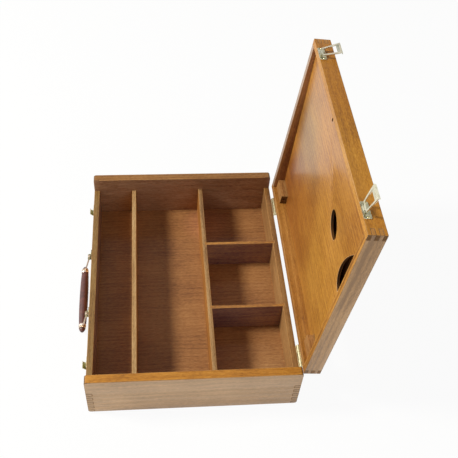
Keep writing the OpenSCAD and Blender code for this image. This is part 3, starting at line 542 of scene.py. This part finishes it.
def size_inputs(tree, names):
    """Named inputs for a tree's geometry and sizes, and its one output"""
    tree.interface.new_socket("Geometry", in_out="INPUT", socket_type="NodeSocketGeometry")
    for name in names:
        kind = "NodeSocketInt" if name == "Seed" else "NodeSocketFloat"
        tree.interface.new_socket(name, in_out="INPUT", socket_type=kind)
    tree.interface.new_socket("Geometry", in_out="OUTPUT", socket_type="NodeSocketGeometry")
    return add(tree, "GroupInput", family="Node").outputs


# The hasp's sides and tip are rolled to a round bead, which is stiff and kind to the thumb
bead_tree = bpy.data.node_groups.new("hasp_bead", "GeometryNodeTree")
bead_in = size_inputs(bead_tree, ["Corner Radius", "Bead Radius"])
bead_line = add(bead_tree, "MeshToCurve", {0: bead_in["Geometry"]}, "GeometryNode")
bead_path = add(bead_tree, "FilletCurve", {"Curve": bead_line.outputs[0], "Count": 6,
                                           "Radius": bead_in["Corner Radius"]}, "GeometryNode", mode="POLY")
bead_round = add(bead_tree, "CurvePrimitiveCircle", {"Resolution": 12, "Radius": bead_in["Bead Radius"]},
                 "GeometryNode")
bead_skin = add(bead_tree, "CurveToMesh", {"Curve": bead_path.outputs[0], "Fill Caps": True,
                                           "Profile Curve": bead_round.outputs[0]}, "GeometryNode")
bead_real = add(bead_tree, "RealizeInstances", {0: bead_skin.outputs[0]}, "GeometryNode")
bead_look = add(bead_tree, "SetMaterial", {0: bead_real.outputs[0], "Material": worn_and_glint_brass}, "GeometryNode")
add(bead_tree, "GroupOutput", {0: bead_look.outputs[0]}, "Node")

hasp_start, hasp_tip = 0.0036, 0.0282
hasp_start_half, hasp_tip_half = 0.0074, 0.0103
bead_proud = 0.00055  # how far the bead stands out on the side away from the box when shut
bead_sizes = {"Corner Radius": 0.0024, "Bead Radius": 0.0013}
least_from_rail = 5  # degrees between the lid's rail and a hasp that is thrown right back
for end in ("far", "near"):
    pin_at = [v.co for v in frame["nodes"]["hasp_pin_" + end].data.vertices]
    pin_middle = sum(pin_at, Vector()) / len(pin_at)
    stands_up = math.radians(swing_limits("hasp_" + end + "_swing")[1] + least_from_rail)
    along = Matrix.Rotation(lid_turn, 3, "Y") @ Vector((-math.sin(stands_up), 0, math.cos(stands_up)))
    outer = Matrix.Rotation(lid_turn, 3, "Y") @ Vector((math.cos(stands_up), 0, math.sin(stands_up)))
    corners = [pin_middle + along * d + outer * bead_proud + Vector((0, y, 0))
               for d, y in ((hasp_start, -hasp_start_half), (hasp_tip, -hasp_tip_half),
                            (hasp_tip, hasp_tip_half), (hasp_start, hasp_start_half))]
    outline = bpy.data.meshes.new("hasp_outline_" + end)
    outline.from_pydata(corners, [(0, 1), (1, 2), (2, 3)], [])
    bead = grown("hasp_bead_" + end, outline, bead_tree, bead_sizes)
    bead.materials.clear()
    bead.materials.append(bead_brass[end])
    add_piece("hasp_bead_" + end, "hasp_" + end, bead)

# Handle brackets and links. Two brass plates with ears carry the pins, and a bent wire link hangs
# from each pin to the ring at the grip's end.
bracket_brass = plated("bracket_brass", (0.30, 0.26, 0.17), (0.18, 0.16, 0.09), 0.4, 61)
link_brass = plated("link_brass", (0.64, 0.50, 0.38), (0.44, 0.33, 0.23), 0.3, 59)
for end in ("far", "near"):
    board("handle_bracket_" + end, "tray", bracket_brass, bracket_brass, 0.0002)
    metal_part("handle_pin_" + end, "tray", pin_brass)
    metal_part("handle_link_" + end, "handle", link_brass)
dull_steel = plated("dull_steel", (0.36, 0.33, 0.30), (0.20, 0.18, 0.16), 0.5, 71)
board("handle_rod", "handle", dull_steel, dull_steel, 0.0002)

# Grip. Dark red-brown leather is wrapped over a core on the rod, and its one seam is stitched along
# the side that hangs towards the box. The caps at its ends are covered in the same leather.
leather, hide = bare_look("grip_leather")
hide_place = add(hide, "TexCoord")
hide_mm = add(hide, "Mapping", {"Vector": hide_place.outputs["Object"], "Scale": in_mm})
hide_cells = add(hide, "TexVoronoi", {"Vector": hide_mm.outputs[0], "Scale": 0.9})
hide_stain = add(hide, "TexNoise", {"Vector": hide_mm.outputs[0], "Scale": 0.12, "Detail": 5.0})
hide_wear = add(hide, "MapRange", {0: hide_stain.outputs[0], 1: 0.35, 2: 0.7, 3: 0.0, 4: 1.0})
hide_colour = mixed(hide, hide_wear.outputs[0], (0.052, 0.012, 0.010, 1), (0.125, 0.034, 0.026, 1))
hide_relief = add(hide, "Bump", {"Strength": 0.3, "Distance": 0.00025,
                                 "Height": hide_cells.outputs["Distance"]})
hide_shader = add(hide, "BsdfPrincipled", {"Base Color": hide_colour, "Roughness": 0.42,
                                           "Normal": hide_relief.outputs[0], "Specular IOR Level": 0.5,
                                           "Coat Weight": 0.2, "Coat Roughness": 0.3})
add(hide, "OutputMaterial", {"Surface": hide_shader.outputs[0]})
board("handle_grip", "handle", leather, leather, 0.0004)
for end in ("far", "near"):
    board("handle_cap_" + end, "handle", leather, leather, 0.0003)

# The grip swells towards its middle, so its radius is read from the rings of points round it
grip_points = [v.co for v in frame["nodes"]["handle_grip"].data.vertices]
grip_x = (min(c.x for c in grip_points) + max(c.x for c in grip_points)) / 2
grip_z = (min(c.z for c in grip_points) + max(c.z for c in grip_points)) / 2
grip_radius = {}
for point in grip_points:
    away = math.hypot(point.x - grip_x, point.z - grip_z)
    grip_radius[round(point.y, 5)] = max(away, grip_radius.get(round(point.y, 5), 0))
grip_stations = sorted(grip_radius)

# The seam's linen stitches follow the side of the grip that hangs towards the box
linen, linen_tree = bare_look("seam_linen")
linen_place = add(linen_tree, "TexCoord")
linen_mm = add(linen_tree, "Mapping", {"Vector": linen_place.outputs["Object"], "Scale": in_mm})
linen_strands = add(linen_tree, "TexNoise", {"Vector": linen_mm.outputs[0], "Scale": 3.0, "Detail": 3.0})
linen_colour = mixed(linen_tree, linen_strands.outputs[0], (0.16, 0.08, 0.05, 1), (0.36, 0.22, 0.13, 1))
linen_relief = add(linen_tree, "Bump", {"Strength": 0.4, "Distance": 0.0001,
                                        "Height": linen_strands.outputs[0]})
linen_shader = add(linen_tree, "BsdfPrincipled", {"Base Color": linen_colour, "Roughness": 0.8,
                                                  "Normal": linen_relief.outputs[0]})
add(linen_tree, "OutputMaterial", {"Surface": linen_shader.outputs[0]})

seam_tree = bpy.data.node_groups.new("grip_seam", "GeometryNodeTree")
seam_in = size_inputs(seam_tree, ["Stitch Pitch", "Stitch Length", "Thread Thickness"])
seam_path = add(seam_tree, "MeshToCurve", {0: seam_in["Geometry"]}, "GeometryNode")
seam_places = add(seam_tree, "ResampleCurve", {0: seam_path.outputs[0], "Length": seam_in["Stitch Pitch"]},
                  "GeometryNode", mode="LENGTH")
stitch_ball = add(seam_tree, "MeshUVSphere", {"Segments": 8, "Rings": 6, "Radius": 0.5}, "GeometryNode")
stitch_size = add(seam_tree, "CombineXYZ", {0: seam_in["Thread Thickness"], 1: seam_in["Thread Thickness"],
                                            2: seam_in["Stitch Length"]})
stitch = add(seam_tree, "Transform", {"Geometry": stitch_ball.outputs[0], "Scale": stitch_size.outputs[0]},
             "GeometryNode")
seam_way = add(seam_tree, "InputTangent", family="GeometryNode")
stitch_turn = add(seam_tree, "AlignRotationToVector", {"Vector": seam_way.outputs[0]}, "FunctionNode",
                  axis="Z")
stitches = add(seam_tree, "InstanceOnPoints", {"Points": seam_places.outputs[0],
                                               "Instance": stitch.outputs[0],
                                               "Rotation": stitch_turn.outputs[0]}, "GeometryNode")
stitch_mesh = add(seam_tree, "RealizeInstances", {0: stitches.outputs[0]}, "GeometryNode")
stitch_look = add(seam_tree, "SetMaterial", {0: stitch_mesh.outputs[0], "Material": linen}, "GeometryNode")
add(seam_tree, "GroupOutput", {0: stitch_look.outputs[0]}, "Node")

pivot_points = [v.co for v in frame["nodes"]["handle_pin_far"].data.vertices]
pivot = sum(pivot_points, Vector()) / len(pivot_points)
hang = Vector((grip_x - pivot.x, 0, grip_z - pivot.z)).normalized()
to_box = Vector((-hang.z, 0, hang.x))
seam_stations = grip_stations[1:-1]
seam_proud = 0.0001
seam_line = bpy.data.meshes.new("seam_line")
seam_line.from_pydata([Vector((grip_x, y, grip_z)) + to_box * (grip_radius[y] + seam_proud)
                       for y in seam_stations], [(i, i + 1) for i in range(len(seam_stations) - 1)], [])
seam = grown("grip_seam", seam_line, seam_tree,
             {"Stitch Pitch": 0.0030, "Stitch Length": 0.0021, "Thread Thickness": 0.0007})
add_piece("grip_seam", "handle", seam)

# A pale collar of plated copper holds the leather at each end of the grip
collar_copper = plated("collar_copper", (0.84, 0.70, 0.62), (0.60, 0.47, 0.40), 0.26, 83)
collar_inset = 0.0003
collar_sides = 32
collar_profile = [(-0.0006, 0.0), (0.0004, 0.0), (0.0007, 0.0004), (0.0007, 0.0030), (0.0004, 0.0034),
                  (-0.0006, 0.0034)]
for end, inward in (("far", -1), ("near", 1)):
    start_y = grip_stations[-1] if end == "far" else grip_stations[0]
    collar = bmesh.new()
    rings = []
    for out, along in collar_profile:
        y = start_y + inward * (along + collar_inset)
        reach = grip_radius[start_y] + out
        turns = [side * math.tau / collar_sides for side in range(collar_sides)]
        rings.append([collar.verts.new((grip_x + reach * math.cos(a), y, grip_z + reach * math.sin(a)))
                      for a in turns])
    for first, second in zip(rings, rings[1:] + rings[:1]):
        for side in range(collar_sides):
            after = (side + 1) % collar_sides
            collar.faces.new((first[side], first[after], second[after], second[side]))
    bmesh.ops.recalc_face_normals(collar, faces=collar.faces)
    collar_mesh = bpy.data.meshes.new("grip_collar_" + end)
    collar.to_mesh(collar_mesh)
    collar.free()
    collar_mesh.materials.append(collar_copper)
    smooth_but_for(collar_mesh, 50)
    add_piece("grip_collar_" + end, "handle", collar_mesh)

# Small fixings. Brass screws with domed, slotted heads hold the metalwork, steel ones hold the blocks,
# and thin nails hold the floor and the lid's panel. No two slots stopped at the same angle.
screw_tree = bpy.data.node_groups.new("slotted_screws", "GeometryNodeTree")
screw_sizes = ["Head Radius", "Head Height", "Shank Radius", "Shank Length", "Slot Width", "Seed"]
nail_tree = bpy.data.node_groups.new("floor_nails", "GeometryNodeTree")
point_radius = 0.0002
for tree in (screw_tree, nail_tree):
    sizes_in = size_inputs(tree, screw_sizes if tree is screw_tree else screw_sizes[:4])
    ball = add(tree, "MeshUVSphere", {"Segments": 24, "Rings": 12, "Radius": sizes_in["Head Radius"]},
               "GeometryNode")
    squash = add(tree, "Math", {0: sizes_in["Head Height"], 1: sizes_in["Head Radius"]}, operation="DIVIDE")
    squash_by = add(tree, "CombineXYZ", {0: 1.0, 1: 1.0, 2: squash.outputs[0]})
    lens = add(tree, "Transform", {"Geometry": ball.outputs[0], "Scale": squash_by.outputs[0]},
               "GeometryNode")
    wide = add(tree, "Math", {0: sizes_in["Head Radius"], 1: 3.0}, operation="MULTIPLY")
    below_size = add(tree, "CombineXYZ", {0: wide.outputs[0], 1: wide.outputs[0], 2: wide.outputs[0]})
    below_box = add(tree, "MeshCube", {"Size": below_size.outputs[0]}, "GeometryNode")
    half_down = add(tree, "Math", {0: wide.outputs[0], 1: -0.5}, operation="MULTIPLY")
    down = add(tree, "CombineXYZ", {2: half_down.outputs[0]})
    below = add(tree, "Transform", {"Geometry": below_box.outputs[0], "Translation": down.outputs[0]},
                "GeometryNode")
    head = add(tree, "MeshBoolean", {"Mesh 1": lens.outputs[0], "Mesh 2": below.outputs[0]},
               "GeometryNode", operation="DIFFERENCE", solver="EXACT")
    if tree is screw_tree:
        slot_size = add(tree, "CombineXYZ", {0: wide.outputs[0], 1: sizes_in["Slot Width"],
                                             2: sizes_in["Head Height"]})
        slot_box = add(tree, "MeshCube", {"Size": slot_size.outputs[0]}, "GeometryNode")
        slot_up = add(tree, "CombineXYZ", {2: sizes_in["Head Height"]})
        slot_cut = add(tree, "Transform", {"Geometry": slot_box.outputs[0],
                                           "Translation": slot_up.outputs[0]}, "GeometryNode")
        head = add(tree, "MeshBoolean", {"Mesh 1": head.outputs[0], "Mesh 2": slot_cut.outputs[0]},
                   "GeometryNode", operation="DIFFERENCE", solver="EXACT")
    shank_bar = add(tree, "MeshCone", {"Vertices": 12, "Radius Top": sizes_in["Shank Radius"],
                                       "Radius Bottom": point_radius, "Depth": sizes_in["Shank Length"]},
                    "GeometryNode")
    shank_down = add(tree, "Math", {0: sizes_in["Shank Length"], 1: -1.0}, operation="MULTIPLY")
    shank_at = add(tree, "CombineXYZ", {2: shank_down.outputs[0]})
    shank = add(tree, "Transform", {"Geometry": shank_bar.outputs[0], "Translation": shank_at.outputs[0]},
                "GeometryNode")
    whole = add(tree, "JoinGeometry", {0: [head.outputs[0], shank.outputs[0]]}, "GeometryNode")
    facing = add(tree, "InputNamedAttribute", {"Name": "facing"}, "GeometryNode",
                 data_type="FLOAT_VECTOR")
    aimed = add(tree, "AlignRotationToVector", {"Vector": facing.outputs[0]}, "FunctionNode", axis="Z")
    turned = aimed
    if tree is screw_tree:
        any_angle = add(tree, "RandomValue", {"Min": 0.0, "Max": math.pi, "Seed": sizes_in["Seed"]},
                        "FunctionNode", data_type="FLOAT")
        spin = add(tree, "AxisAngleToRotation", {"Axis": (0, 0, 1), "Angle": any_angle.outputs["Value"]},
                   "FunctionNode")
        turned = add(tree, "RotateRotation", {0: aimed.outputs[0], 1: spin.outputs[0]}, "FunctionNode",
                     rotation_space="LOCAL")
    driven = add(tree, "InstanceOnPoints", {"Points": sizes_in["Geometry"], "Instance": whole.outputs[0],
                                            "Rotation": turned.outputs[0]}, "GeometryNode")
    made_real = add(tree, "RealizeInstances", {0: driven.outputs[0]}, "GeometryNode")
    tree_look = add(tree, "SetMaterial", {0: made_real.outputs[0], "Material": catch_brass}, "GeometryNode")
    add(tree, "GroupOutput", {0: tree_look.outputs[0]}, "Node")


def fixings(node, body, facing, look, tree, sizes):
    """Screws or nails of a CAD node, one on each of its loose solids, driven against their facing"""
    shape = bmesh.new()
    shape.from_mesh(frame["nodes"][node].data)
    bmesh.ops.remove_doubles(shape, verts=shape.verts, dist=same_point)
    left = set(shape.verts)
    seats = []
    aims = []
    while left:
        solid = {left.pop()}
        ahead = list(solid)
        while ahead:
            for link in ahead.pop().link_edges:
                for v in link.verts:
                    if v not in solid:
                        solid.add(v)
                        ahead.append(v)
        left -= solid
        points = [v.co for v in solid]
        aim = facing(points[0])
        side = aim.orthogonal().normalized()
        other = aim.cross(side)
        middle = [(min(p.dot(a) for p in points) + max(p.dot(a) for p in points)) / 2
                  for a in (side, other)]
        top = max(p.dot(aim) for p in points) - sizes["Head Sunk"]
        seats.append(side * middle[0] + other * middle[1] + aim * top)
        aims.append(aim)
    shape.free()
    places = bpy.data.meshes.new(node + "_places")
    order = sorted(range(len(seats)), key=lambda i: [round(c, 4) for c in seats[i]])
    places.from_pydata([seats[i] for i in order], [], [])
    given = places.attributes.new("facing", "FLOAT_VECTOR", "POINT")
    given.data.foreach_set("vector", [c for i in order for c in aims[i]])
    mesh = grown(node + "_driven", places, tree, sizes)
    mesh.materials.clear()
    mesh.materials.append(look)
    add_piece(node + "_driven", body, mesh, node)


out_of_lid = Matrix.Rotation(lid_turn, 3, "Y")
brass_screw = {"Head Radius": 0.0022, "Head Height": 0.0011, "Head Sunk": 0.0009, "Slot Width": 0.0005,
               "Shank Radius": 0.0011, "Shank Length": 0.0065}
for seed, (node, body, facing) in enumerate((
        ("base_leaf_screws", "tray", Vector((1, 0, 0))), ("catch_screws", "tray", Vector((-1, 0, 0))),
        ("handle_bracket_screws", "tray", Vector((-1, 0, 0))),
        ("lid_leaf_screws", "lid", out_of_lid @ Vector((1, 0, 0))),
        ("hasp_plate_screws", "lid", out_of_lid @ Vector((-1, 0, 0))))):
    fixings(node, body, lambda point, aim=facing: aim, catch_brass, screw_tree,
            {**brass_screw, "Seed": seed})
fixings("block_screws", "lid", lambda point: Vector((0, -1 if point.y > 0 else 1, 0)), dull_steel,
        screw_tree, {**brass_screw, "Seed": 9})
nail = {"Head Radius": 0.0013, "Head Height": 0.0005, "Shank Radius": 0.0007, "Shank Length": 0.0115,
        "Head Sunk": 0.0005}
fixings("floor_pins", "tray", lambda point: Vector((0, 0, -1)), dull_steel, nail_tree, nail)
fixings("lid_pins", "lid", lambda point: out_of_lid @ Vector((0, 0, 1)), dull_steel, nail_tree,
        nail)
